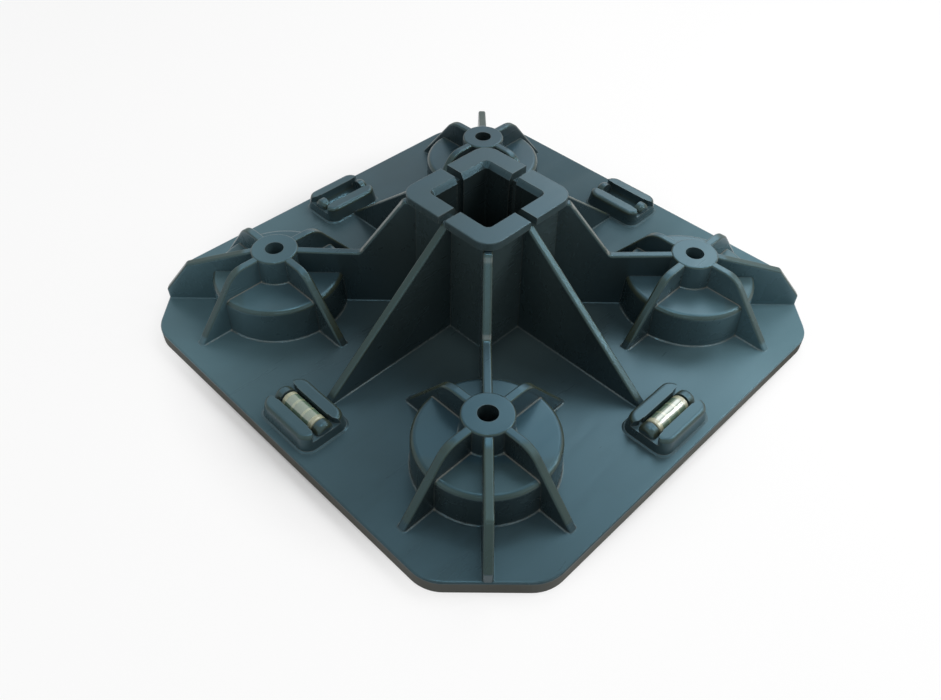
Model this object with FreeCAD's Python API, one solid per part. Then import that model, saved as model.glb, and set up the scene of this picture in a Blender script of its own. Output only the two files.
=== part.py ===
import FreeCAD, Part
import math
import os

# Strut ground base: one moulded foot with a square strut socket, four corner hubs and four level housings,
# and two tubular level vials lying in the housings of the two front sides.
# Millimetres, +Z up, origin at the middle of the underside, plate sides along X and Y.

Vector = FreeCAD.Vector
ORIGIN = Vector(0, 0, 0)
UP = Vector(0, 0, 1)
QUARTER_TURNS = (0, 90, 180, 270)
DIAGONAL = 45

# Plate: a skin with a skirt around its edge
plate_side = 320.0
plate_height = 9.0
plate_skin = 4.5
skirt_wall = 4.5
corner_cut = 42.5
corner_radius = 22.0
plate_edge_round = 1.2

# Strut socket: a square tube with a rim of four pads
strut_width = 41.3
strut_clearance = 0.55
socket_top = 89.5
socket_wall = 9.2
socket_draft = 1.0
socket_corner_radius = 5.0
bore_corner_radius = 1.5
lead_in_depth = 3.8
lead_in_width = 2.3
rim_height = 4.8
rim_overhang = 4.9
rim_corner_radius = 10.5
rim_edge_round = 0.6
slot_width = 5.0
groove_depth = 3.0

# Ribs: upright webs of one thickness
rib_thickness = 5.2
rib_edge_round = 1.3
side_rib_head = 32.7
side_rib_inset = 34.0
corner_rib_reach = 1.7
corner_rib_drop = 1.0
corner_rib_lap = 1.5
corner_rib_head_radius = 2.0
corner_rib_kink = 74.6
corner_rib_kink_height = 46.2
corner_rib_kink_radius = 3.0

# Corner hubs: a boss with a hole, on a drum, with legs around it
hub_inset = 71.4
hub_top = 47.6
hub_radius = 14.0
hub_hole = 11.0
hub_edge_round = 1.2
drum_radius = 40.0
drum_top = 31.6
drum_wall = 4.0
drum_edge_round = 3.2
hub_draft = 2.0
leg_reach = 60.4
leg_slope = 51.0
leg_arch_radius = 14.0
leg_drop = 0.35
outer_rib_shoulder = 35.7
outer_rib_shoulder_radius = 4.0
outer_rib_nose = 16.0
outer_rib_nose_radius = 2.0
outer_rib_setback = 0.4

# Level housings: two rails with a trough for a vial between them and a dome at both ends of it
housing_inset = 20.7
housing_length = 43.0
housing_width = 30.8
housing_height = 10.2
housing_draft = 9.0
housing_corner_radius = 7.0
housing_edge_round = 2.6
rail_relief = 0.4
rail_tip = 4.0
rail_tip_radius = 4.0
rail_tip_angle = 45.0
dome_radius = 5.6
dome_length = 6.0
dome_edge_round = 3.0
dome_foot = 0.6
vial_clearance = 0.8
vial_end_gap = 0.75

# Level vials: a clear barrel, its fluid with a bubble, and two end plugs
vial_diameter = 10.8
vial_length = 26.5
vial_wall = 1.0
vial_crown = 0.35
plug_flange = 3.2
plug_edge_round = 1.2
plug_spigot = 2.0
plug_clearance = 0.05
fluid_clearance = 0.05
bubble_length = 8.0
bubble_diameter = 5.4
bubble_end_round = 2.2
bubble_rise = 0.2

# Roots, where webs, walls and bosses meet the plate and the drums
root_round = 0.8

# Places that follow from the sizes above
plate_half = plate_side / 2
skin_under = plate_height - plate_skin
web_foot = plate_height - plate_skin / 2
side_rib_foot = plate_half - side_rib_inset
hub_spacing = plate_side - 2 * hub_inset
hub_diagonal = hub_spacing / math.sqrt(2)
corner_diagonal = (plate_side - corner_cut) / math.sqrt(2)
bore_half = strut_width / 2 + strut_clearance
rim_under = socket_top - rim_height
wall_half_top = bore_half + socket_wall
wall_half_foot = wall_half_top + (rim_under - plate_height) * math.tan(math.radians(socket_draft))
rim_half = wall_half_top + rim_overhang
leg_crest = hub_top - leg_drop
housing_offset = plate_half - housing_inset
housing_top = plate_height + housing_height
pocket_half = vial_diameter / 2 + vial_clearance
pocket_length = vial_length + 2 * vial_end_gap
vial_axis = plate_height + vial_diameter / 2
barrel_half = vial_length / 2 - plug_flange
bore_middle = vial_diameter / 2 - vial_wall
crown_radius = (barrel_half ** 2 + vial_crown ** 2) / (2 * vial_crown)
beyond = plate_side
touch = 0.001

# Where webs begin and end, inside the socket's wall, its rim and the hub's boss
wall_core = bore_half + socket_wall / 2
rim_core = rim_under + rim_height / 2
boss_core = (hub_hole / 2 + hub_radius) / 2


def rounded_wire(corners, radii):
    """Closed wire through the corners, with a tangent arc of its own radius at each one."""
    count = len(corners)
    edges = []
    leave = None
    first = None
    for index in range(count):
        here = corners[index]
        back = (corners[index - 1] - here).normalize()
        ahead = (corners[(index + 1) % count] - here).normalize()
        half_angle = back.getAngle(ahead) / 2
        reach = radii[index] / math.tan(half_angle)
        arrive = here + back * reach
        if leave is None:
            first = arrive
        else:
            edges.append(Part.LineSegment(leave, arrive).toShape())
        leave = here + ahead * reach
        if radii[index] > 0:
            middle_way = (back + ahead).normalize()
            middle = here + middle_way * (radii[index] / math.sin(half_angle) - radii[index])
            edges.append(Part.Arc(arrive, middle, leave).toShape())
    edges.append(Part.LineSegment(leave, first).toShape())
    return Part.Wire(edges)


def rectangle_wire(half_x, half_y, radius, height):
    """Rounded rectangle about the Z axis, at a height."""
    corners = [
        Vector(-half_x, -half_y, height),
        Vector(half_x, -half_y, height),
        Vector(half_x, half_y, height),
        Vector(-half_x, half_y, height),
    ]
    return rounded_wire(corners, [radius] * len(corners))


def plate_wire(inset, height):
    """Plate outline with cut and rounded corners, moved in by an inset."""
    half = plate_half - inset
    cut = corner_cut - inset * (2 - math.sqrt(2))
    corners = []
    for turn in QUARTER_TURNS:
        start = Vector(half, half - cut, height)
        end = Vector(half - cut, half, height)
        for corner in (start, end):
            corners.append(FreeCAD.Rotation(UP, turn).multVec(corner))
    return rounded_wire(corners, [corner_radius - inset] * len(corners))


def prism(wire, height):
    """Solid raised from a level outline."""
    return Part.Face(wire).extrude(UP * height)


def box(x_range, y_range, z_range):
    """Box between the ends of three ranges."""
    sizes = [high - low for low, high in (x_range, y_range, z_range)]
    return Part.makeBox(*sizes, Vector(x_range[0], y_range[0], z_range[0]))


def turned(corners, radii):
    """Solid of revolution about the Z axis, from a profile of radius and height."""
    profile = rounded_wire([Vector(radius, 0, height) for radius, height in corners], radii)
    return Part.Face(profile).revolve(ORIGIN, UP, 360)


def rounded_edges(solid, radius, chosen):
    """Rounds the edges of a solid that a test on each edge chooses."""
    return solid.makeFillet(radius, [edge for edge in solid.Edges if chosen(edge)])


def web(corners, radii, start):
    """Upright web over the X axis from a profile of distance and height, edges rounded past a start."""
    profile = rounded_wire([Vector(distance, 0, height) for distance, height in corners], radii)
    solid = Part.Face(profile).extrude(Vector(0, rib_thickness, 0))
    solid.translate(Vector(0, -rib_thickness / 2, 0))

    def on_top(edge):
        limits = edge.BoundBox
        along_side = limits.YLength < rib_edge_round
        above_foot = limits.ZMax > web_foot + rib_edge_round
        past_start = limits.XMax > start + rib_edge_round
        return along_side and above_foot and past_start

    return rounded_edges(solid, rib_edge_round, on_top)


def about_hub(solid, degrees):
    """Turns a solid made over the X axis about the hub's axis, and moves it there."""
    solid.rotate(ORIGIN, UP, degrees)
    solid.translate(Vector(hub_diagonal, 0, 0))
    return solid


def plate():
    """Plate with its top edge rounded, still solid underneath."""
    slab = prism(plate_wire(0, 0), plate_height)

    def on_top(edge):
        return edge.BoundBox.ZMin > plate_height - plate_edge_round

    return rounded_edges(slab, plate_edge_round, on_top)


def socket_tube():
    """Drafted square tube, still solid inside."""
    foot = rectangle_wire(wall_half_foot, wall_half_foot, socket_corner_radius, web_foot)
    rise = (rim_core - rim_under) / (rim_under - plate_height)
    half = wall_half_top - (wall_half_foot - wall_half_top) * rise
    head = rectangle_wire(half, half, socket_corner_radius, rim_core)
    return Part.makeLoft([foot, head], True, True)


def socket_rim():
    """Rim around the socket's mouth, still solid inside."""
    pad = prism(rectangle_wire(rim_half, rim_half, rim_corner_radius, rim_under), rim_height)

    def on_top(edge):
        return edge.BoundBox.ZMin > socket_top - rim_edge_round

    return rounded_edges(pad, rim_edge_round, on_top)


def socket_hollow():
    """Bore for the strut with its lead-in, and a groove in each wall that splits the rim."""
    bore = prism(rectangle_wire(bore_half, bore_half, bore_corner_radius, plate_height), beyond)
    mouth_half = bore_half + lead_in_width
    mouth_corner = bore_corner_radius + lead_in_width
    low = rectangle_wire(bore_half, bore_half, bore_corner_radius, socket_top - lead_in_depth)
    high = rectangle_wire(mouth_half, mouth_half, mouth_corner, socket_top)
    hollows = [bore, Part.makeLoft([low, high], True, True)]
    groove_half = bore_half + groove_depth
    slot_half = slot_width / 2
    across_slot = (-slot_half, slot_half)
    groove = box((-groove_half, groove_half), across_slot, (plate_height, socket_top))
    slot = box((-beyond, beyond), across_slot, (rim_under, beyond))
    for cutter in (groove, slot):
        crossing = cutter.copy()
        crossing.rotate(ORIGIN, UP, 90)
        hollows.extend([cutter, crossing])
    return hollows


def side_rib():
    """Web from under the rim down to the plate, over the X axis."""
    fall = (rim_under - plate_height) / (side_rib_foot - side_rib_head)
    tip = side_rib_foot + (plate_height - web_foot) / fall
    head = side_rib_head - (rim_core - rim_under) / fall
    corners = [(wall_core, web_foot), (tip, web_foot), (head, rim_core), (wall_core, rim_core)]
    return web(corners, [0] * len(corners), wall_core)


def corner_rib():
    """Web from under the rim's corner to a shoulder, down to a kink and on to the hub, over the X axis."""
    rim_corner = rim_half * math.sqrt(2) - rim_corner_radius * (math.sqrt(2) - 1)
    under_corner = rim_corner - corner_rib_lap
    head = rim_under - corner_rib_drop
    start = wall_core * math.sqrt(2)
    end = hub_diagonal - boss_core
    corners = [
        (start, web_foot),
        (end, web_foot),
        (end, leg_crest),
        (corner_rib_kink, corner_rib_kink_height),
        (rim_corner + corner_rib_reach, head),
        (under_corner, head),
        (under_corner, rim_core),
        (start, rim_core),
    ]
    radii = [0, 0, 0, corner_rib_kink_radius, corner_rib_head_radius, 0, 0, 0]
    return web(corners, radii, under_corner)


def hub_leg():
    """Web from inside the boss, arched over and down to the plate."""
    slope = math.tan(math.radians(leg_slope))
    shoulder = leg_reach - (leg_crest - plate_height) / slope
    tip = leg_reach + (plate_height - web_foot) / slope
    corners = [(boss_core, web_foot), (tip, web_foot), (shoulder, leg_crest), (boss_core, leg_crest)]
    return web(corners, [0, 0, leg_arch_radius, 0], boss_core)


def outer_rib():
    """Web from inside the boss out to a shoulder, down to a nose and upright to the plate's cut corner."""
    end = corner_diagonal - hub_diagonal - outer_rib_setback
    slope = math.tan(math.radians(leg_slope))
    shoulder = end - (outer_rib_shoulder - outer_rib_nose) / slope
    corners = [
        (boss_core, web_foot),
        (end, web_foot),
        (end, outer_rib_nose),
        (shoulder, outer_rib_shoulder),
        (boss_core, leg_crest),
    ]
    return web(corners, [0, 0, outer_rib_nose_radius, outer_rib_shoulder_radius, 0], boss_core)


def hub():
    """Drum and boss about the hub's axis, still solid inside, with the legs around them."""
    lean = math.tan(math.radians(hub_draft))
    drum_head = drum_radius - (drum_top - plate_height) * lean
    boss_foot = hub_radius + (hub_top - drum_top) * lean
    corners = [
        (0, 0),
        (drum_radius, 0),
        (drum_radius, plate_height),
        (drum_head, drum_top),
        (boss_foot, drum_top),
        (hub_radius, hub_top),
        (0, hub_top),
    ]
    radii = [0, 0, 0, drum_edge_round, root_round, hub_edge_round, 0]
    solids = [about_hub(turned(corners, radii), 0), about_hub(outer_rib(), 0)]
    for turn in QUARTER_TURNS:
        solids.append(about_hub(hub_leg(), DIAGONAL + turn))
    return solids


def hub_hollow():
    """Hollow of the drum, open below, and the hole through the boss."""
    lean = math.tan(math.radians(hub_draft))
    inner = drum_radius - drum_wall
    roof = drum_top - drum_wall
    inner_head = inner - (roof - plate_height) * lean
    corners = [(0, 0), (inner, 0), (inner, plate_height), (inner_head, roof), (0, roof)]
    hollow = turned(corners, [0, 0, 0, drum_edge_round, 0])
    hole = Part.makeCylinder(hub_hole / 2, beyond)
    return [about_hub(hollow, 0), about_hub(hole, 0)]


def level_housing():
    """Drafted block with soft edges, open between its rails at both ends, with a dome in each opening."""
    lean = housing_height * math.tan(math.radians(housing_draft))
    sink = plate_height - web_foot
    foot_lean = sink * math.tan(math.radians(housing_draft))
    half_x = housing_width / 2
    half_y = housing_length / 2
    foot = rectangle_wire(half_x + foot_lean, half_y + foot_lean, housing_corner_radius, web_foot)
    head = rectangle_wire(half_x - lean, half_y - lean, housing_corner_radius, housing_top)
    block = Part.makeLoft([foot, head], True, True)

    def on_top(edge):
        return edge.BoundBox.ZMin > housing_top - housing_edge_round

    block = rounded_edges(block, housing_edge_round, on_top)
    low_x = half_x + 2 * root_round
    low_y = half_y + 2 * root_round
    low = rectangle_wire(low_x, low_y, housing_corner_radius, plate_height - root_round)
    high = rectangle_wire(half_x, half_y, housing_corner_radius, plate_height + root_round)
    block = block.fuse(Part.makeLoft([low, high], True, True))
    block = block.cut([rail_gap(0), rail_gap(180)]).fuse([end_dome(0), end_dome(180)])
    block.translate(Vector(housing_offset, 0, 0))
    return block


def rail_gap(turn):
    """Opening between a housing's rails at one end, flared outwards around their tips."""
    half = pocket_half + rail_relief
    inside = pocket_length / 2 - rail_relief
    tip = housing_length / 2 - rail_tip
    flare = 2 * rail_tip * math.tan(math.radians(rail_tip_angle))
    outside = tip + 2 * rail_tip
    plan = [
        (-half, inside),
        (half, inside),
        (half, tip),
        (half + flare, outside),
        (-half - flare, outside),
        (-half, tip),
    ]
    corners = [Vector(across, along, vial_axis + dome_foot) for across, along in plan]
    gap = prism(rounded_wire(corners, [0, 0, rail_tip_radius, 0, 0, rail_tip_radius]), beyond)
    gap.rotate(ORIGIN, UP, turn)
    return gap


def end_dome(turn):
    """Round lump in line with the vial, behind one of its ends."""
    start = pocket_length / 2 - rail_relief
    end = pocket_length / 2 + dome_length
    corners = [(0, start), (dome_radius, start), (dome_radius, end), (0, end)]
    dome = turned(corners, [0, 0, dome_edge_round, 0])
    dome.rotate(ORIGIN, Vector(1, 0, 0), -90)
    dome.translate(Vector(0, 0, vial_axis))
    dome.rotate(ORIGIN, UP, turn)
    return dome


def vial_pocket():
    """Trough that the vial lies in, open above."""
    trough = Part.makeCylinder(pocket_half, pocket_length, ORIGIN, Vector(0, 1, 0))
    trough.translate(Vector(housing_offset, -pocket_length / 2, plate_height + pocket_half))
    span_x = (housing_offset - pocket_half, housing_offset + pocket_half)
    mouth = box(span_x, (-pocket_length / 2, pocket_length / 2), (plate_height + pocket_half, beyond))
    return [trough, mouth]


def underside_hollow():
    """Recess under the skin, inside the skirt, with walls left under the socket and the ribs."""
    recess = prism(plate_wire(skirt_wall, 0), skin_under)
    under_wall = prism(rectangle_wire(wall_half_foot, wall_half_foot, socket_corner_radius, 0), skin_under)
    under_bore = prism(rectangle_wire(bore_half, bore_half, bore_corner_radius, 0), skin_under)
    walls = [under_wall.cut(under_bore)]
    for turn in QUARTER_TURNS:
        drum = Part.makeCylinder(drum_radius, skin_under, Vector(hub_diagonal, 0, 0))
        half = rib_thickness / 2
        diagonal_rib = box((wall_half_foot, corner_diagonal), (-half, half), (0, skin_under))
        straight_rib = box((wall_half_foot, plate_half), (-half, half), (0, skin_under))
        for wall, first_turn in ((drum, DIAGONAL), (diagonal_rib, DIAGONAL), (straight_rib, 0)):
            wall.rotate(ORIGIN, UP, first_turn + turn)
            walls.append(wall)
    return recess.cut(walls)


def four_turns(solids, first_turn):
    """Copies of the solids at four quarter turns about the part's axis."""
    copies = []
    for turn in QUARTER_TURNS:
        for solid in solids:
            copy = solid.copy()
            copy.rotate(ORIGIN, UP, first_turn + turn)
            copies.append(copy)
    return copies


def rooted(solid):
    """Rounds the inside corners where webs and walls stand on the plate."""

    def at_root(edge):
        limits = edge.BoundBox
        if limits.ZMin < plate_height - touch or limits.ZMax > plate_height + touch:
            return False
        middle = (edge.FirstParameter + edge.LastParameter) / 2
        along = edge.tangentAt(middle)
        aside = Vector(-along.y, along.x, 0).normalize() * (root_round / 2)
        above = edge.valueAt(middle) + UP * (root_round / 2)
        return solid.isInside(above + aside, touch, False) or solid.isInside(above - aside, touch, False)

    return rounded_edges(solid, root_round, at_root)


def base_moulding():
    """The whole foot as one piece."""
    webs = four_turns(hub() + [corner_rib()], DIAGONAL) + four_turns([side_rib()], 0)
    body = plate().fuse([socket_tube(), socket_rim()] + webs).removeSplitter()
    body = rooted(body.Solids[0]).fuse(four_turns([level_housing()], 0))
    hollows = socket_hollow() + four_turns(hub_hollow(), DIAGONAL) + four_turns(vial_pocket(), 0)
    body = body.cut(hollows + [underside_hollow()]).removeSplitter()
    return body.Solids[0]


def bore_radius(along):
    """Radius of the vial's crowned bore at a distance from its middle."""
    return bore_middle - crown_radius + math.sqrt(crown_radius ** 2 - along ** 2)


def crowned(half, inset, outside):
    """Solid of revolution about the Z axis between the crowned bore, moved in, and an outside radius."""
    end_radius = bore_radius(half) - inset
    low = Vector(end_radius, 0, -half)
    high = Vector(end_radius, 0, half)
    outer_low = Vector(outside, 0, -half)
    outer_high = Vector(outside, 0, half)
    edges = [
        Part.Arc(high, Vector(bore_middle - inset, 0, 0), low).toShape(),
        Part.LineSegment(low, outer_low).toShape(),
        Part.LineSegment(outer_low, outer_high).toShape(),
        Part.LineSegment(outer_high, high).toShape(),
    ]
    return Part.Face(Part.Wire(edges)).revolve(ORIGIN, UP, 360)


def vial_barrel():
    """Clear tube about the Z axis."""
    return crowned(barrel_half, 0, vial_diameter / 2)


def vial_fluid():
    """Fluid between the plugs, with the bubble taken out on the side that lies uppermost."""
    fluid = crowned(barrel_half - plug_spigot - fluid_clearance, fluid_clearance, 0)
    radius = bubble_diameter / 2
    half = bubble_length / 2
    corners = [(0, -half), (radius, -half), (radius, half), (0, half)]
    bubble = turned(corners, [0, bubble_end_round, bubble_end_round, 0])
    bubble.translate(Vector(0, bore_middle - fluid_clearance - radius + bubble_rise, 0))
    return fluid.cut(bubble)


def vial_plug(flip):
    """Plug with a spigot in the bore and a flange on the barrel's upper end, or flipped to its lower end."""
    spigot = bore_radius(barrel_half) - plug_clearance
    flange = vial_diameter / 2
    end = vial_length / 2
    corners = [
        (0, barrel_half - plug_spigot),
        (spigot, barrel_half - plug_spigot),
        (spigot, barrel_half),
        (flange, barrel_half),
        (flange, end),
        (0, end),
    ]
    plug = turned(corners, [0, 0, 0, 0, plug_edge_round, 0])
    plug.rotate(ORIGIN, Vector(1, 0, 0), flip)
    return plug


def seated(solid, turn):
    """Lays a vial piece made about the Z axis along its trough, in the housing at a turn."""
    laid = solid.copy()
    laid.rotate(ORIGIN, Vector(1, 0, 0), 90)
    laid.translate(Vector(housing_offset, 0, vial_axis))
    laid.rotate(ORIGIN, UP, turn)
    return laid


nodes = {"base_moulding": base_moulding()}
for side, turn in (("right", 0), ("left", 270)):
    nodes["vial_barrel_" + side] = seated(vial_barrel(), turn)
    nodes["vial_fluid_" + side] = seated(vial_fluid(), turn)
    nodes["vial_plug_" + side + "_a"] = seated(vial_plug(0), turn)
    nodes["vial_plug_" + side + "_b"] = seated(vial_plug(180), turn)

os.makedirs("parts", exist_ok=True)
for node, shape in nodes.items():
    shape.exportStep("parts/" + node + ".step")
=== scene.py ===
import math

import bmesh
import bpy
from mathutils import Matrix, Vector


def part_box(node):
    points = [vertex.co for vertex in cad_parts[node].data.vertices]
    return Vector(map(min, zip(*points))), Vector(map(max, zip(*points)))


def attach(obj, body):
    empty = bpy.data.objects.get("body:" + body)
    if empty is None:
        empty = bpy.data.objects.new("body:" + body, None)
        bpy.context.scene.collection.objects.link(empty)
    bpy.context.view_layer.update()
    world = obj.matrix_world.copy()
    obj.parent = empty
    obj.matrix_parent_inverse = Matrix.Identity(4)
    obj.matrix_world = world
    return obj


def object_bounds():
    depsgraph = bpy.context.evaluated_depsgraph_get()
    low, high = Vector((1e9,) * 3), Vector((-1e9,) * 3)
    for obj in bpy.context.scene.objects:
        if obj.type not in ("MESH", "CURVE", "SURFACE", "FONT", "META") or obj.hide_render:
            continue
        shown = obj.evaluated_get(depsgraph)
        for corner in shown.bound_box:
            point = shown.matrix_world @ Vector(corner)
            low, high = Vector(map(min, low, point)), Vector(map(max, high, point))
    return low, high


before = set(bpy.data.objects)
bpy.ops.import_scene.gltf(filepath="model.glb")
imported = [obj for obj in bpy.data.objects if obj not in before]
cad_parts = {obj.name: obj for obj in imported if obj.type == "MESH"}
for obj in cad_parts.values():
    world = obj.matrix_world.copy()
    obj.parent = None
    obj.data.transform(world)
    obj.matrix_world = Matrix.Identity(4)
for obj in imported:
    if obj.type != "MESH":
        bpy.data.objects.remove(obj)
cad_low, cad_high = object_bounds()

bl_info = {
    "name": "Strut ground base",
    "version": (1, 0, 0),
    "blender": (4, 5, 0),
    "location": "View3D > Sidebar > Strut base",
    "description": "Finishes a moulded strut base and its level vials, and sets a plain studio around it",
    "category": "Object",
}

SIDES = ("right", "left")
PLUG_ENDS = ("a", "b")
ALONG = {"right": Vector((0, 1, 0)), "left": Vector((1, 0, 0))}

# Ways along the plate's two diagonals
TO_FRONT = (0.7071, -0.7071, 0)
TO_RIGHT = (0.7071, 0.7071, 0)

# Heights on the moulding that its finish follows, in metres
PLATE_ROOT = 0.011  # above the rounded roots on the plate
DRUM_SIDE = 0.028  # below a drum's rounded top edge
OUTER_RIB_FOOT = 0.030  # below the shoulder of an outer rib
DRUM_ROOT = 0.0322  # middle of the rounded roots on a drum
SHELTER_TOP = 0.045  # upper end of the space shaded by socket and ribs, where shade is painted
RIB_LEVEL = 0.0465  # lower end of a corner rib's slope
RIB_KINK = 0.0479  # bend at the foot of that slope
RIB_HEAD = 0.0811  # bend at the head of that slope
RIM_UNDER = 0.084  # just below the rim

# Distances on the moulding that its finish follows, in metres
RIB_SIDE = 0.0024  # from a rib's middle, just inside its side
RIB_ROOT = 0.0048  # from a rib's middle, past its rounded root
BORE_SIDE = 0.0222  # from the plate's middle lines, past the bore's faces
HOUSING_END = 0.034  # along a side of the plate, past a housing's end
WALL_NEAR = 0.045  # from the socket's axis, near its walls
SHELTER_NEAR = 0.055  # from the socket's axis, fully shaded up to here
CORNER_LIGHT_NEAR = 0.06  # along a diagonal, where the painted corner light begins
RIB_FOOT = 0.078  # from the socket's axis, past a corner rib's kink
WALL_FAR = 0.09  # from the socket's axis, beyond the painted fill light on its walls
HOUSING_FACE = 0.110  # from the plate's middle lines, before a housing
SHELTER_FAR = 0.115  # from the socket's axis, in the open from here
OUTER_RIB = 0.142  # from the socket's axis, past a boss
CORNER_LIGHT_FAR = 0.19  # along a diagonal, where the painted corner light is full
EDGE_HIGHLIGHT = 0.0012  # width of the painted highlight along an edge


class MouldingSettings(bpy.types.PropertyGroup):
    """Finish of the one-piece moulding."""

    colour: bpy.props.FloatVectorProperty(
        name="Plastic", description="Colour of the bare plastic", subtype="COLOR",
        size=4, min=0, max=1, default=(0.019, 0.028, 0.028, 1))
    # Painted light: a lighter, bluer tone on faces that look up, where light falls from above
    lit_top: bpy.props.FloatVectorProperty(
        name="Film", description="Colour of the dry film on faces that look up", subtype="COLOR",
        size=4, min=0, max=1, default=(0.029, 0.051, 0.061, 1))
    # Painted light: the same lit tone, bluer, on the drums, the bosses and the rim
    lit_top_high: bpy.props.FloatVectorProperty(
        name="Film, high up", description="Colour of the film on the drums, the bosses and the rim",
        subtype="COLOR", size=4, min=0, max=1, default=(0.020, 0.047, 0.064, 1))
    # Painted fill light: a lighter tone on the plastic around the socket's walls
    wall: bpy.props.FloatVectorProperty(
        name="Socket wall", description="Colour of the plastic around the socket's walls", subtype="COLOR",
        size=4, min=0, max=1, default=(0.046, 0.068, 0.070, 1))
    # Painted reflection: a dimmer olive tone on sloping tops and outer rib tops, in place of the bluer
    # reflection
    rib: bpy.props.FloatVectorProperty(
        name="Rib top", description="Colour of the sloping tops of ribs and legs", subtype="COLOR",
        size=4, min=0, max=1, default=(0.034, 0.042, 0.026, 1))
    # Painted highlight: a paler tone along edges, where rounded edges catch the light
    edge_highlight: bpy.props.FloatVectorProperty(
        name="Rubbed edge", description="Colour of the plastic where edges are rubbed", subtype="COLOR",
        size=4, min=0, max=1, default=(0.080, 0.090, 0.084, 1))
    # Painted light: a lighter, bluer tone at the two corners to the left and right, where more light falls
    corner_light: bpy.props.FloatVectorProperty(
        name="Faded", description="Colour of the plastic at the two corners that have weathered most",
        subtype="COLOR", size=4, min=0, max=1, default=(0.105, 0.192, 0.221, 1))
    # Painted highlight: a pale tone in the rounded roots and on the bends of the corner ribs, where light
    # glints
    painted_highlight: bpy.props.FloatVectorProperty(
        name="Dust", description="Colour of the pale dust in inner corners", subtype="COLOR",
        size=4, min=0, max=1, default=(0.18, 0.185, 0.165, 1))
    # Painted reflection: a dark warm tone on the plate's side edge and low inner faces, standing in for the
    # floor's reflection
    skirt_reflection: bpy.props.FloatVectorProperty(
        name="Skirt", description="Colour of the plate's soiled side edge", subtype="COLOR",
        size=4, min=0, max=1, default=(0.040, 0.029, 0.014, 1))
    # Painted light colour: the blue tint on reflections stands in for bluish light
    reflected_light_tint: bpy.props.FloatVectorProperty(
        name="Sheen", description="Tint of what the satin surface reflects", subtype="COLOR",
        size=4, min=0, max=1, default=(0.36, 0.77, 1.0, 1))
    gloss: bpy.props.FloatProperty(
        name="Gloss", description="Strength of the surface reflection", subtype="FACTOR",
        min=0, max=1, default=0.5)
    roughness: bpy.props.FloatProperty(
        name="Roughness", description="Roughness of the clean satin surface", subtype="FACTOR",
        min=0, max=1, default=0.27)
    # Strength of the painted light at the two corners
    corner_light_strength: bpy.props.FloatProperty(
        name="Fading", description="How far the two weathered corners have faded", subtype="FACTOR",
        min=0, max=1, default=0.7)
    # Share of the painted light on faces that look up
    lit_top_share: bpy.props.FloatProperty(
        name="Film share", description="How much of the film covers faces that look up", subtype="FACTOR",
        min=0, max=1, default=0.85)
    # Reach of the painted highlight out of an inner corner
    highlight_reach: bpy.props.FloatProperty(
        name="Dust reach", description="How far dust reaches out of an inner corner", unit="LENGTH",
        min=0.0001, default=0.0016)
    # Height of the painted reflection on the plate's side edge
    skirt_height: bpy.props.FloatProperty(
        name="Skirt height", description="Height of the plate's soiled side edge", unit="LENGTH",
        min=0, default=0.0082)
    grain: bpy.props.FloatProperty(
        name="Grain", description="Width of the moulded grain", unit="LENGTH", min=0.0001, default=0.0009)
    grain_depth: bpy.props.FloatProperty(
        name="Grain depth", description="Depth of the moulded grain", unit="LENGTH", min=0, default=0.00002)


class VialSettings(bpy.types.PropertyGroup):
    """Finish of the two level vials and the size of their marks."""

    glass: bpy.props.FloatVectorProperty(
        name="Barrel", description="Tint of the milky barrel", subtype="COLOR",
        size=4, min=0, max=1, default=(0.15, 0.23, 0.16, 1))
    fluid: bpy.props.FloatVectorProperty(
        name="Fluid", description="Colour of the fluid", subtype="COLOR",
        size=4, min=0, max=1, default=(0.30, 0.40, 0.25, 1))
    fluid_depth: bpy.props.FloatVectorProperty(
        name="Fluid depth", description="Colour of the fluid where it looks deeper", subtype="COLOR",
        size=4, min=0, max=1, default=(0.20, 0.35, 0.27, 1))
    plug: bpy.props.FloatVectorProperty(
        name="Plug", description="Colour of the end plugs", subtype="COLOR",
        size=4, min=0, max=1, default=(0.36, 0.38, 0.26, 1))
    mark: bpy.props.FloatVectorProperty(
        name="Mark", description="Colour of the ring marks", subtype="COLOR",
        size=4, min=0, max=1, default=(0.20, 0.25, 0.15, 1))
    mark_gap: bpy.props.FloatProperty(
        name="Mark gap", description="Distance between the two ring marks, about the bubble's length",
        unit="LENGTH", min=0.001, default=0.0085)
    mark_width: bpy.props.FloatProperty(
        name="Mark width", description="Width of a ring mark", unit="LENGTH", min=0.0002, default=0.0016)
    mark_height: bpy.props.FloatProperty(
        name="Mark height", description="How far a ring mark stands off the barrel", unit="LENGTH",
        min=0.00001, default=0.00003)


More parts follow.
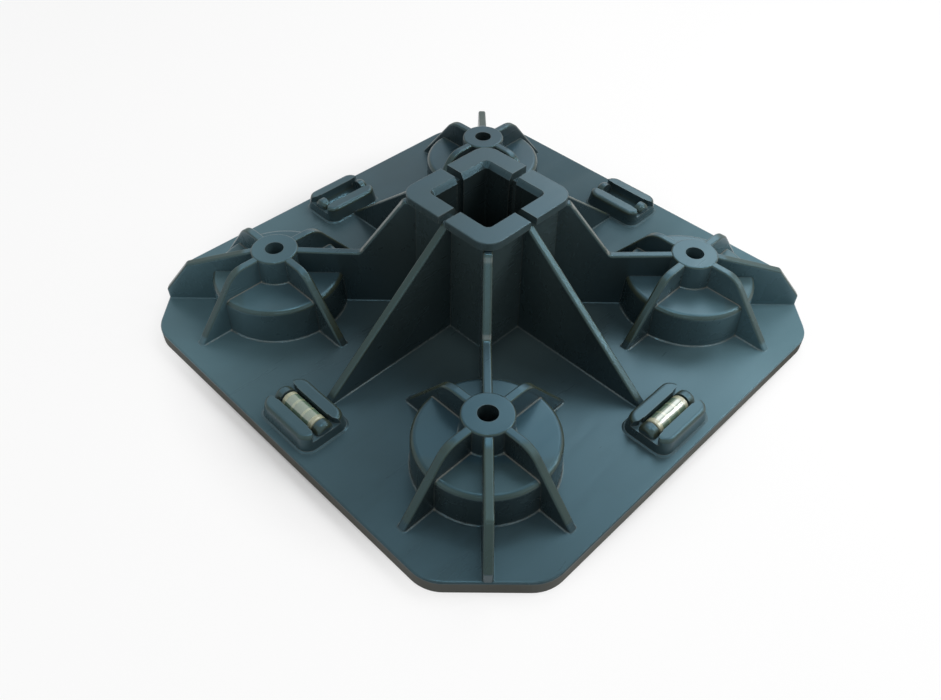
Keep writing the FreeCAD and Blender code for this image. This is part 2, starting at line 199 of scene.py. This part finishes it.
class StageSettings(bpy.types.PropertyGroup):
    """Floor, light and camera around the base."""

    floor: bpy.props.FloatVectorProperty(
        name="Floor", description="Colour of the floor", subtype="COLOR",
        size=4, min=0, max=1, default=(0.9, 0.9, 0.9, 1))
    floor_glow: bpy.props.FloatProperty(
        name="Floor glow", description="How far the floor is lifted to white where it is seen",
        subtype="FACTOR", min=0, max=1, default=0.8)
    ambient: bpy.props.FloatProperty(
        name="Ambient", description="Strength of the even light from all around", subtype="FACTOR",
        min=0, default=0.21)
    key: bpy.props.FloatProperty(
        name="Key", description="Power of the soft lamp behind the base", unit="POWER", min=0, default=8.5)
    top: bpy.props.FloatProperty(
        name="Top", description="Power of the lamp above the base", unit="POWER", min=0, default=5)
    front: bpy.props.FloatProperty(
        name="Front", description="Power of the lamp beside the camera", unit="POWER", min=0, default=1)
    side: bpy.props.FloatProperty(
        name="Sides", description="Power of each soft lamp to the left and right of the base", unit="POWER",
        min=0, default=2)
    strip: bpy.props.FloatProperty(
        name="Strips", description="Power of each of the two strip lamps", unit="POWER", min=0, default=2.4)
    azimuth: bpy.props.FloatProperty(
        name="Azimuth", description="Camera's turn about the base", subtype="ANGLE",
        default=math.radians(44.14))
    elevation: bpy.props.FloatProperty(
        name="Elevation", description="Camera's angle above the floor", subtype="ANGLE",
        default=math.radians(46.03))
    roll: bpy.props.FloatProperty(
        name="Roll", description="Camera's tilt about its own axis", subtype="ANGLE",
        default=math.radians(1.23))
    distance: bpy.props.FloatProperty(
        name="Distance", description="From the camera to its target", unit="LENGTH", default=0.5092)
    target: bpy.props.FloatVectorProperty(
        name="Target", description="Point on the floor that the camera looks at", subtype="XYZ",
        size=3, default=(0.02009, -0.03141, 0))
    lens: bpy.props.FloatProperty(
        name="Lens", description="Camera's focal length on a sensor 36 mm wide", unit="CAMERA",
        default=32.145)


class Shade:
    """A number, colour or vector on a shader socket. Sums on numbers add Math nodes."""

    def __init__(self, finish, socket):
        self.finish = finish
        self.socket = socket

    def sum(self, operation, first, second=0.0):
        return self.finish.node("ShaderNodeMath", {"operation": operation}, {0: first, 1: second})

    def __add__(self, other):
        return self.sum("ADD", self, other)

    def __radd__(self, other):
        return self.sum("ADD", other, self)

    def __sub__(self, other):
        return self.sum("SUBTRACT", self, other)

    def __rsub__(self, other):
        return self.sum("SUBTRACT", other, self)

    def __mul__(self, other):
        return self.sum("MULTIPLY", self, other)

    def __or__(self, other):
        return self.sum("MAXIMUM", self, other)

    def __and__(self, other):
        return self.sum("MINIMUM", self, other)

    def __abs__(self):
        return self.sum("ABSOLUTE", self)


class Finish:
    """Shader nodes of one material or of the world."""

    def __init__(self, owner):
        owner.use_nodes = True
        self.tree = owner.node_tree
        self.tree.nodes.clear()

    def node(self, kind, settings=None, sockets=None, output=0):
        """Adds a node, sets it up, fills or links its sockets and returns one of its outputs."""
        made = self.tree.nodes.new(kind)
        for setting, value in (settings or {}).items():
            setattr(made, setting, value)
        for socket, value in (sockets or {}).items():
            if isinstance(value, Shade):
                self.tree.links.new(value.socket, made.inputs[socket])
            else:
                made.inputs[socket].default_value = value
        return Shade(self, made.outputs[output])

    def place(self):
        return self.node("ShaderNodeTexCoord", output="Object")

    def noise(self, place, scale, detail=2.0, roughness=0.5, distortion=0.0):
        return self.node("ShaderNodeTexNoise", sockets={
            "Vector": place, "Scale": scale, "Detail": detail, "Roughness": roughness,
            "Distortion": distortion})

    def stretched(self, place, scale):
        return self.node("ShaderNodeMapping", sockets={"Vector": place, "Scale": scale})

    def step(self, value, low, high, to_low=0.0, to_high=1.0):
        return self.node("ShaderNodeMapRange", {"interpolation_type": "SMOOTHSTEP"}, {
            "Value": value, "From Min": low, "From Max": high, "To Min": to_low, "To Max": to_high})

    def blend(self, share, first, second):
        return self.node("ShaderNodeMix", {"data_type": "RGBA"}, {0: share, 6: first, 7: second}, 2)

    def along(self, place, direction):
        """Distance of a place from the origin along a direction."""
        return self.node(
            "ShaderNodeVectorMath", {"operation": "DOT_PRODUCT"}, {0: place, 1: direction}, "Value")

    def away(self, place, axes):
        """Distance of a place from the origin in the axes given as ones and zeros."""
        kept = self.node("ShaderNodeVectorMath", {"operation": "MULTIPLY"}, {0: place, 1: axes})
        return self.node("ShaderNodeVectorMath", {"operation": "LENGTH"}, {0: kept}, "Value")

    def bump(self, height, depth, strength):
        return self.node("ShaderNodeBump", sockets={
            "Height": height, "Distance": depth, "Strength": strength})

    def surface(self, shader):
        self.node_output("ShaderNodeOutputMaterial", shader)

    def node_output(self, kind, shader):
        end = self.tree.nodes.new(kind)
        self.tree.links.new(shader.socket, end.inputs["Surface"])

    def seen(self):
        """One where the camera, a reflection or clear material looks, and nothing for the light itself."""
        path = self.tree.nodes.new("ShaderNodeLightPath")
        camera = Shade(self, path.outputs["Is Camera Ray"])
        glossy = Shade(self, path.outputs["Is Glossy Ray"])
        clear = Shade(self, path.outputs["Is Transmission Ray"])
        return camera | glossy | clear


def dress(node, material):
    """Gives a CAD node its material."""
    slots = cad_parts[node].data.materials
    slots.clear()
    slots.append(material)


def add_piece(name, shape, material):
    """Makes a mesh piece from a bmesh that is already in place, and lets it ride with the base."""
    bmesh.ops.recalc_face_normals(shape, faces=shape.faces)
    mesh = bpy.data.meshes.new(name)
    shape.to_mesh(mesh)
    shape.free()
    mesh.materials.append(material)
    for face in mesh.polygons:
        face.use_smooth = True
    mesh.set_sharp_from_angle(angle=math.radians(35))
    piece = bpy.data.objects.new(name, mesh)
    bpy.context.scene.collection.objects.link(piece)
    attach(piece, "root")
    return piece


def middle_of(node):
    low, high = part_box(node)
    return (low + high) / 2


class MouldingPlaces:
    """Where a point of the moulding lies and which way its surface looks."""

    def __init__(self, finish):
        self.place = finish.place()
        self.normal = finish.node("ShaderNodeNewGeometry", output="Normal")
        self.upward = finish.node("ShaderNodeSeparateXYZ", sockets={"Vector": self.normal}, output="Z")
        self.lies_flat = finish.step(self.upward, 0.55, 0.95)
        self.height = finish.along(self.place, (0, 0, 1))
        self.from_axis = finish.away(self.place, (1, 1, 0))
        self.along_y = finish.along(self.place, (0, 1, 0))
        beside_x = abs(finish.along(self.place, (1, 0, 0)))
        beside_y = abs(self.along_y)
        self.from_bore = beside_x | beside_y
        self.from_side_rib = beside_x & beside_y
        self.toward_front = finish.along(self.place, TO_FRONT)
        self.across = abs(finish.along(self.place, TO_RIGHT))
        self.from_corner_rib = self.across & abs(self.toward_front)
        self.on_plate = finish.step(self.height, PLATE_ROOT, PLATE_ROOT + 0.001, 1, 0)
        # Bays low down near the socket and ribs, where shade is painted
        low_down = finish.step(self.height, SHELTER_TOP, SHELTER_TOP + 0.010, 1, 0)
        self.shaded_bay = low_down * finish.step(self.from_axis, SHELTER_NEAR, SHELTER_FAR, 1, 0)
        self.below_rim = finish.step(self.height, RIM_UNDER, RIM_UNDER + 0.0005, 1, 0)


def bare_plastic(finish, at, settings, clouds):
    """Colour of the plastic itself, with painted fill light making it a little lighter around the socket's
    walls but not in its bore.
    """
    cloudy = finish.step(clouds, 0.35, 0.7, 0, 0.35)
    bare = finish.blend(cloudy, tuple(settings.colour), tuple(settings.lit_top))
    # Painted fill light near the socket's walls, kept out of the bore
    near_socket = finish.step(at.from_axis, WALL_NEAR, WALL_FAR, 0.7, 0)
    outside_bore = finish.step(at.from_bore, BORE_SIDE, BORE_SIDE + 0.001)
    return finish.blend(near_socket * outside_bore, bare, tuple(settings.wall))


def edge_highlight_share(finish, at, speckle):
    """Share of the painted highlight along the edges."""
    soft_edge = finish.node("ShaderNodeBevel", {"samples": 4}, {"Radius": EDGE_HIGHLIGHT})
    edge = finish.step(finish.along(at.normal, soft_edge), 0.995, 0.90)
    return edge * finish.step(speckle, 0.35, 0.65, 0.3, 0.8)


def tilted_share(finish, at):
    """Share of the sloping tops of ribs and legs, which get a painted reflection tone."""
    tilted = finish.step(at.upward, 0.15, 0.35) * finish.step(at.upward, 0.82, 0.95, 1, 0)
    return tilted * finish.step(at.height, PLATE_ROOT + 0.001, PLATE_ROOT + 0.003) * at.below_rim


def outer_rib_share(finish, at):
    """Share of the level tops of the outer ribs, which get a painted reflection tone and a rougher surface.
    """
    beyond_boss = finish.step(at.from_axis, OUTER_RIB, OUTER_RIB + 0.004)
    return beyond_boss * finish.step(at.height, OUTER_RIB_FOOT, OUTER_RIB_FOOT + 0.004) * at.lies_flat


def bend_highlight_share(finish, at):
    """Share of the painted highlights on the two bends of a corner rib's slope."""
    slope = finish.step(at.height, RIB_LEVEL, RIB_LEVEL + 0.001) * at.below_rim
    slope = slope * finish.step(at.from_corner_rib, RIB_SIDE, RIB_SIDE + 0.0006, 1, 0)
    slope = slope * finish.step(at.from_axis, RIB_FOOT, RIB_FOOT + 0.002, 1, 0)
    slope = slope * finish.step(at.upward, 0.2, 0.4)
    kink_spot = finish.step(abs(at.height - RIB_KINK), 0.0006, 0.0016, 0.66, 0)
    head_spot = finish.step(abs(at.height - RIB_HEAD), 0.0006, 0.0016, 0.47, 0)
    return slope * (kink_spot | head_spot)


def root_highlight_share(finish, at, settings, speckle):
    """Share of the painted highlight in the roots on the plate and the drums, more toward the front, little
    at housings.
    """
    open_sky = finish.node(
        "ShaderNodeAmbientOcclusion", {"samples": 8, "only_local": True},
        {"Distance": settings.highlight_reach}, "AO")
    on_drum = finish.step(abs(at.height - DRUM_ROOT), 0.0014, 0.0022, 1, 0)
    upward_root = finish.step(at.upward, 0.15, 0.5) * (at.on_plate | on_drum)
    highlighted = upward_root * finish.step(open_sky, 0.88, 0.74) * finish.step(speckle, 0.3, 0.6, 0.75, 1.0)
    beside_housing = finish.step(at.from_side_rib, HOUSING_END, HOUSING_END + 0.010, 0.8, 0)
    at_housing = beside_housing * finish.step(at.from_bore, HOUSING_FACE, HOUSING_FACE + 0.008)
    beside_rib = finish.step(at.from_corner_rib, RIB_ROOT, RIB_ROOT + 0.0014)
    frontward = finish.step(at.toward_front, -0.10, 0.03, 0.25, 1)
    return highlighted * frontward * beside_rib * (1 - at_housing) * (1 - at.shaded_bay * 0.6)


def satin_plastic(settings):
    """Dark satin plastic with painted light on faces that look up and at two corners, painted shade in the
    bays, painted highlights on edges, bends and roots, and painted reflection tones on sloping tops and the
    skirt.
    """
    material = bpy.data.materials.new("satin_plastic")
    finish = Finish(material)
    at = MouldingPlaces(finish)
    clouds = finish.noise(at.place, 14, 4, 0.6)
    streaks = finish.noise(finish.stretched(at.place, (60, 9, 30)), 1, 5, 0.65, 0.4)
    speckle = finish.noise(at.place, 420, 3, 0.7)
    grain = finish.noise(at.place, 1 / settings.grain, 2, 0.6)
    patches = finish.step(clouds * 0.65 + streaks * 0.35, 0.30, 0.70, 0.45, 1.0)
    # Painted light on faces that look up, with less of it in the shaded bays as painted shade
    lit_top = (1 - at.shaded_bay * 0.8) * at.lies_flat * patches * settings.lit_top_share
    lit_top_colour = finish.blend(
        finish.step(at.height, DRUM_SIDE, DRUM_SIDE + 0.003), tuple(settings.lit_top), tuple(settings.lit_top_high))
    # Painted light at the two corners to the left and right
    corners = finish.step(at.across, CORNER_LIGHT_NEAR, CORNER_LIGHT_FAR)
    corner_light = corners * finish.step(clouds, 0.25, 0.75, 0.8, 1.0) * settings.corner_light_strength
    # Painted reflection of the floor on the plate's side edge and low inner faces
    reflecting_skirt = finish.step(at.height, settings.skirt_height, settings.skirt_height * 0.9) * (1 - at.lies_flat)
    outer_rib = outer_rib_share(finish, at)
    # Painted reflection tone on sloping tops and outer rib tops
    reflection_tone_share = (tilted_share(finish, at) | outer_rib) * 0.85
    colour = finish.blend(lit_top, bare_plastic(finish, at, settings, clouds), lit_top_colour)
    colour = finish.blend(corner_light, colour, tuple(settings.corner_light))
    # Painted highlight along the edges
    colour = finish.blend(edge_highlight_share(finish, at, speckle), colour, tuple(settings.edge_highlight))
    colour = finish.blend(reflecting_skirt, colour, tuple(settings.skirt_reflection))
    colour = finish.blend(reflection_tone_share, colour, tuple(settings.rib))
    # Painted highlights on the bends of the corner ribs
    colour = finish.blend(bend_highlight_share(finish, at), colour, tuple(settings.painted_highlight))
    # Painted highlight in the roots on the plate and the drums
    colour = finish.blend(root_highlight_share(finish, at, settings, speckle), colour, tuple(settings.painted_highlight))
    dulled = at.on_plate * finish.step(at.along_y, 0.04, 0.12, 0, 0.3)
    roughness = settings.roughness + lit_top * 0.06 + reflecting_skirt * 0.35 + dulled + outer_rib * 0.2
    roughness = roughness + finish.step(streaks, 0.3, 0.7, -0.03, 0.05)
    bump = finish.bump(grain * 0.7 + speckle * 0.3, settings.grain_depth, 0.5)
    shader = finish.node("ShaderNodeBsdfPrincipled", sockets={
        "Base Color": colour, "Roughness": roughness, "IOR": 1.5, "Specular IOR Level": settings.gloss,
        "Specular Tint": tuple(settings.reflected_light_tint), "Normal": bump})
    finish.surface(shader)
    return material


def clear_barrel(settings):
    """Milky tube with a clear, glossy skin, through which a little of the fluid shows."""
    material = bpy.data.materials.new("clear_barrel")
    finish = Finish(material)
    place = finish.place()
    haze = finish.noise(place, 120, 2, 0.5)
    shader = finish.node("ShaderNodeBsdfPrincipled", sockets={
        "Base Color": tuple(settings.glass), "Roughness": finish.step(haze, 0.3, 0.7, 0.15, 0.17),
        "Alpha": finish.step(haze, 0.3, 0.7, 0.84, 0.90), "Coat Weight": 1.0, "Coat Roughness": 0.13,
        "Coat IOR": 2.2})
    finish.surface(shader)
    return material


def vial_fluid(settings):
    """Pale, cloudy fluid."""
    material = bpy.data.materials.new("vial_fluid")
    finish = Finish(material)
    place = finish.place()
    cloud = finish.noise(place, 190, 2, 0.5)
    colour = finish.blend(finish.step(cloud, 0.4, 0.65), tuple(settings.fluid), tuple(settings.fluid_depth))
    shader = finish.node("ShaderNodeBsdfPrincipled", sockets={
        "Base Color": colour, "Roughness": finish.step(cloud, 0.3, 0.7, 0.2, 0.3),
        "Specular IOR Level": 0.05})
    finish.surface(shader)
    return material


def plug_plastic(settings):
    """Cream plastic with a soft mottle."""
    material = bpy.data.materials.new("plug_plastic")
    finish = Finish(material)
    place = finish.place()
    mottle = finish.noise(place, 500, 4, 0.6)
    dark = tuple(channel * 0.7 for channel in settings.plug[:3]) + (1,)
    shader = finish.node("ShaderNodeBsdfPrincipled", sockets={
        "Base Color": finish.blend(finish.step(mottle, 0.35, 0.75), tuple(settings.plug), dark),
        "Roughness": finish.step(mottle, 0.3, 0.7, 0.32, 0.5), "Coat Weight": 0.3, "Coat Roughness": 0.15,
        "Coat IOR": 2.0})
    finish.surface(shader)
    return material


def mark_paint(settings):
    """Paint of the ring marks, a little worn."""
    material = bpy.data.materials.new("mark_paint")
    finish = Finish(material)
    worn = finish.noise(finish.place(), 1500, 3, 0.6)
    pale = tuple(min(1.0, channel * 1.3) for channel in settings.mark[:3]) + (1,)
    shader = finish.node("ShaderNodeBsdfPrincipled", sockets={
        "Base Color": finish.blend(finish.step(worn, 0.4, 0.7), tuple(settings.mark), pale),
        "Roughness": finish.step(worn, 0.3, 0.7, 0.35, 0.55), "Coat Weight": 1.0, "Coat Roughness": 0.13,
        "Coat IOR": 2.2})
    finish.surface(shader)
    return material


def ring_shape(radius, width, height):
    """Flat ring about +Z, lying on a barrel of the radius given."""
    shape = bmesh.new()
    inside = shape.verts.new((radius, 0, -width / 2))
    outside = shape.verts.new((radius + height, 0, -width / 2))
    top_out = shape.verts.new((radius + height, 0, width / 2))
    top_in = shape.verts.new((radius, 0, width / 2))
    section = shape.faces.new((inside, outside, top_out, top_in))
    bmesh.ops.spin(
        shape, geom=[section, *section.edges, *section.verts], cent=(0, 0, 0), axis=(0, 0, 1),
        angle=math.tau, steps=64, use_merge=True, use_duplicate=False)
    bmesh.ops.remove_doubles(shape, verts=shape.verts, dist=1e-7)
    return shape


class STRUTBASE_OT_moulding(bpy.types.Operator):
    """Gives the moulding its satin plastic"""

    bl_idname = "strut_base.moulding"
    bl_label = "Finish moulding"

    def execute(self, context):
        dress("base_moulding", satin_plastic(context.scene.strut_moulding))
        return {"FINISHED"}


class STRUTBASE_OT_vials(bpy.types.Operator):
    """Gives barrels, fluid and plugs their materials"""

    bl_idname = "strut_base.vials"
    bl_label = "Finish vials"

    def execute(self, context):
        settings = context.scene.strut_vials
        barrel = clear_barrel(settings)
        fluid = vial_fluid(settings)
        plug = plug_plastic(settings)
        for side in SIDES:
            dress("vial_barrel_" + side, barrel)
            dress("vial_fluid_" + side, fluid)
            for end in PLUG_ENDS:
                dress("vial_plug_" + side + "_" + end, plug)
        return {"FINISHED"}


class STRUTBASE_OT_marks(bpy.types.Operator):
    """Lays two ring marks around each vial's barrel"""

    bl_idname = "strut_base.marks"
    bl_label = "Add ring marks"

    def execute(self, context):
        settings = context.scene.strut_vials
        paint = mark_paint(settings)
        for side in SIDES:
            barrel = "vial_barrel_" + side
            low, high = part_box(barrel)
            radius = (high.z - low.z) / 2
            for number, place in enumerate((-0.5, 0.5), start=1):
                middle = middle_of(barrel) + ALONG[side] * settings.mark_gap * place
                shape = ring_shape(radius, settings.mark_width, settings.mark_height)
                turn = Vector((0, 0, 1)).rotation_difference(ALONG[side]).to_matrix().to_4x4()
                bmesh.ops.transform(shape, matrix=Matrix.Translation(middle) @ turn, verts=shape.verts)
                add_piece(f"ring_mark_{side}_{number}", shape, paint)
        return {"FINISHED"}


class STRUTBASE_OT_stage(bpy.types.Operator):
    """Adds the floor, the lamps, the world and the camera"""

    bl_idname = "strut_base.stage"
    bl_label = "Add stage"

    def floor(self, settings):
        material = bpy.data.materials.new("pale_floor")
        finish = Finish(material)
        speckle = finish.noise(finish.place(), 30, 2)
        paler = finish.step(speckle, 0.2, 0.8, 0, 0.02)
        matt = finish.node("ShaderNodeBsdfDiffuse", sockets={
            "Color": finish.blend(paler, tuple(settings.floor), (1, 1, 1, 1))})
        glow = finish.node("ShaderNodeEmission", sockets={"Color": (1, 1, 1, 1), "Strength": 1.0})
        away = finish.away(finish.place(), (1, 1, 0))
        reach = cad_high.x
        near = finish.step(away, 0.9 * reach, 1.3 * reach, 0, settings.floor_glow)
        far = finish.step(away, 2 * reach, 8 * reach)
        share = finish.seen() * (near | far)
        finish.surface(finish.node("ShaderNodeMixShader", sockets={0: share, 1: matt, 2: glow}))
        shape = bmesh.new()
        bmesh.ops.create_grid(shape, x_segments=2, y_segments=2, size=4.0)
        bmesh.ops.translate(shape, verts=shape.verts, vec=(0, 0, cad_low.z - 0.0002))
        mesh = bpy.data.meshes.new("floor")
        shape.to_mesh(mesh)
        shape.free()
        mesh.materials.append(material)
        piece = bpy.data.objects.new("floor", mesh)
        bpy.context.scene.collection.objects.link(piece)

    def lamp(self, name, place, aim, width, length, power, turn=0.0):
        light = bpy.data.lights.new(name, "AREA")
        light.shape = "RECTANGLE"
        light.size = width
        light.size_y = length
        light.energy = power
        lamp = bpy.data.objects.new(name, light)
        look = (Vector(aim) - Vector(place)).to_track_quat("-Z", "Y").to_matrix().to_4x4()
        lamp.matrix_world = Matrix.Translation(place) @ look @ Matrix.Rotation(turn, 4, "Z")
        bpy.context.scene.collection.objects.link(lamp)

    def world(self, settings):
        world = bpy.data.worlds.new("even_light")
        bpy.context.scene.world = world
        finish = Finish(world)
        even = finish.node("ShaderNodeBackground", sockets={
            "Color": (1, 1, 1, 1), "Strength": settings.ambient})
        white = finish.node("ShaderNodeBackground", sockets={"Color": (1, 1, 1, 1), "Strength": 1.0})
        finish.node_output("ShaderNodeOutputWorld", finish.node(
            "ShaderNodeMixShader", sockets={0: finish.seen(), 1: even, 2: white}))

    def camera(self, settings):
        turn, rise, roll = settings.azimuth, settings.elevation, settings.roll
        back = Vector((
            math.sin(turn) * math.cos(rise), -math.cos(turn) * math.cos(rise), math.sin(rise)))
        right = Vector((math.cos(turn), math.sin(turn), 0))
        up = back.cross(right)
        across = right * math.cos(roll) + up * math.sin(roll)
        upright = up * math.cos(roll) - right * math.sin(roll)
        data = bpy.data.cameras.new("camera")
        data.sensor_width = 36
        data.lens = settings.lens
        data.clip_start = 0.01
        camera = bpy.data.objects.new("camera", data)
        axes = Matrix((across, upright, back)).transposed().to_4x4()
        camera.matrix_world = Matrix.Translation(Vector(settings.target) + back * settings.distance) @ axes
        bpy.context.scene.collection.objects.link(camera)
        bpy.context.scene.camera = camera

    def execute(self, context):
        settings = context.scene.strut_stage
        self.floor(settings)
        self.world(settings)
        self.camera(settings)
        self.lamp("key_lamp", (-0.337, 1.038, 1.17), (0, 0, 0), 0.9, 0.9, settings.key)
        self.lamp("top_lamp", (0.05, -0.05, 1.5), (0, 0, 0), 0.3, 0.3, settings.top)
        self.lamp("front_lamp", (0.85, -0.87, 0.88), (0, 0, 0), 0.35, 0.35, settings.front)
        self.lamp("side_left", (-0.15, -1.35, 0.8), (0, 0, 0), 0.9, 0.9, settings.side)
        self.lamp("side_right", (1.35, 0.15, 0.8), (0, 0, 0), 0.9, 0.9, settings.side)
        self.lamp("strip_near", (0.41, 0.61, 0.76), (0.139, 0, 0.02), 0.02, 0.7, settings.strip)
        self.lamp("strip_far", (0.62, 0.58, 0.55), (0.139, 0, 0.02), 0.02, 0.7, settings.strip)
        context.scene.view_settings.view_transform = "Standard"
        return {"FINISHED"}


class STRUTBASE_PT_panel(bpy.types.Panel):
    """Lists the base's settings and steps"""

    bl_idname = "STRUTBASE_PT_panel"
    bl_label = "Strut base"
    bl_space_type = "VIEW_3D"
    bl_region_type = "UI"
    bl_category = "Strut base"

    def draw(self, context):
        scene = context.scene
        for settings in (scene.strut_moulding, scene.strut_vials, scene.strut_stage):
            box = self.layout.box()
            for setting in settings.bl_rna.properties:
                if setting.identifier not in ("name", "rna_type"):
                    box.prop(settings, setting.identifier)
        for operator in OPERATORS:
            self.layout.operator(operator.bl_idname)


GROUPS = {
    "strut_moulding": MouldingSettings,
    "strut_vials": VialSettings,
    "strut_stage": StageSettings,
}
OPERATORS = (STRUTBASE_OT_moulding, STRUTBASE_OT_vials, STRUTBASE_OT_marks, STRUTBASE_OT_stage)


def register():
    for kind in (*GROUPS.values(), *OPERATORS, STRUTBASE_PT_panel):
        bpy.utils.register_class(kind)
    for name, group in GROUPS.items():
        setattr(bpy.types.Scene, name, bpy.props.PointerProperty(type=group))


def unregister():
    for name in GROUPS:
        delattr(bpy.types.Scene, name)
    for kind in (STRUTBASE_PT_panel, *reversed(OPERATORS), *GROUPS.values()):
        bpy.utils.unregister_class(kind)


def main():
    register()
    bpy.ops.strut_base.moulding()
    bpy.ops.strut_base.vials()
    bpy.ops.strut_base.marks()
    bpy.ops.strut_base.stage()


if __name__ == "__main__":
    main()
